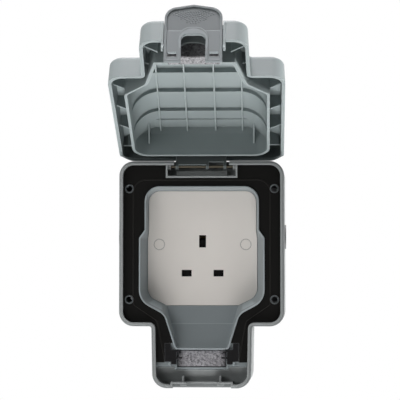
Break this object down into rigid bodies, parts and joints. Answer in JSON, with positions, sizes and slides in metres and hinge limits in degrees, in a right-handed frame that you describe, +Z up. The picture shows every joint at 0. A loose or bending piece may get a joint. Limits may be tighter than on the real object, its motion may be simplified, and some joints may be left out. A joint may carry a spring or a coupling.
{
  "type": "outdoor weatherproof socket",
  "caption": "Wall-mounted weatherproof single socket box with a hinged domed lid, rocking latch, gasket, recessed shuttered socket plate and a foam-sealed outlet for a lead.",
  "frame": {"origin": "on the wall face of the box, behind the middle of the socket plate, level with its two screws", "axes": "+Z up along the wall, +X to the right seen from the front, +Y into the wall; the socket faces -Y"},
  "size_m": [0.1166, 0.186, 0.2457],
  "materials": {
    "box_grey": "fine satin moulding",
    "frame_grey": "fine satin moulding",
    "lid_grey": "fine satin moulding",
    "latch_grey": "fine satin moulding",
    "gasket_black": "matt rubber sheet",
    "plate_white": "satin moulding",
    "shutter_black": "plain moulding",
    "base_foam": "open-cell foam, mottled",
    "lid_foam": "open-cell foam, dark",
    "clip_black": "satin moulding",
    "pin_brass": "dull drawn rod",
    "contact_brass": "bright strip",
    "screw_steel": "zinc plated",
    "plug_grey": "satin moulding",
    "seal_rubber": "matt rubber ring"
  },
  "bodies": {
    "base": {"back_box": "box_grey", "front_frame": "frame_grey", "gasket": "gasket_black", "socket_plate": "plate_white", "screw_caps": "plate_white", "plate_screws": "screw_steel", "screw_inserts": "contact_brass", "socket_body": "shutter_black", "earth_contact": "contact_brass", "line_contact": "contact_brass", "neutral_contact": "contact_brass", "terminal_screws": "screw_steel", "body_screws": "screw_steel", "shutter_spring": "screw_steel", "base_foam": "base_foam", "foam_holder_left": "clip_black", "foam_holder_right": "clip_black", "hinge_pin": "pin_brass", "entry_plug_left": "plug_grey", "entry_plug_right": "plug_grey", "entry_seals": "seal_rubber"},
    "lid": {"lid": "lid_grey", "lid_foam": "lid_foam"},
    "latch": {"latch": "latch_grey"},
    "shutter": {"shutter": "shutter_black"}
  },
  "joints": [
    {"name": "lid_hinge", "type": "hinge", "parent": "base", "child": "lid", "pos_m": [0, -0.044, 0.0535], "axis": [1, 0, 0], "range_deg": [0, 114.35]},
    {"name": "latch_rock", "type": "hinge", "parent": "lid", "child": "latch", "pos_m": [0, -0.18045, 0.118], "axis": [1, 0, 0], "range_deg": [-12, 0]},
    {"name": "shutter_slide", "type": "slide", "parent": "base", "child": "shutter", "axis": [0, 0, -1], "range_m": [0, 0.0065], "stiffness_N_per_m": 60, "springref_m": -0.003, "deforming": ["shutter_spring"]}
  ]
}
